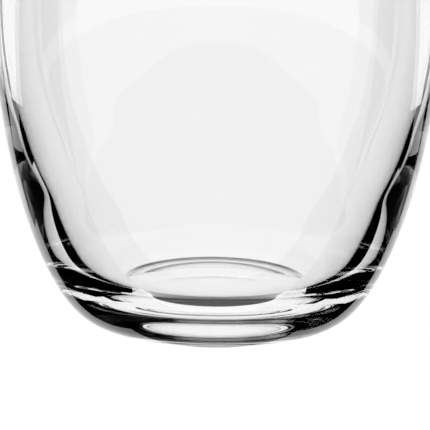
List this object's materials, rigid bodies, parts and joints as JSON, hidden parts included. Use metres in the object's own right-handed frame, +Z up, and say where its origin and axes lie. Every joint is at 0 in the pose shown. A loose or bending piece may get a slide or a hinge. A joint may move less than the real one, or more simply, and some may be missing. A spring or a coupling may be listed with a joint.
{
  "type": "mixing glass",
  "caption": "Thick-walled clear glass vessel with a heavy rounded base, a curved belly, an open mouth and a pulled pouring lip, for stirring and straining drinks.",
  "frame": {"origin": "centre of the ring the glass stands on, at the level of the table", "axes": "+Z up along the vessel's axis, -X out through the pouring lip, +Y across it"},
  "size_m": [0.1017, 0.099, 0.15],
  "materials": {
    "clear_glass": "clear, fire-polished, smooth inside and out"
  },
  "bodies": {
    "root": {"glass_vessel": "clear_glass"}
  },
  "joints": []
}
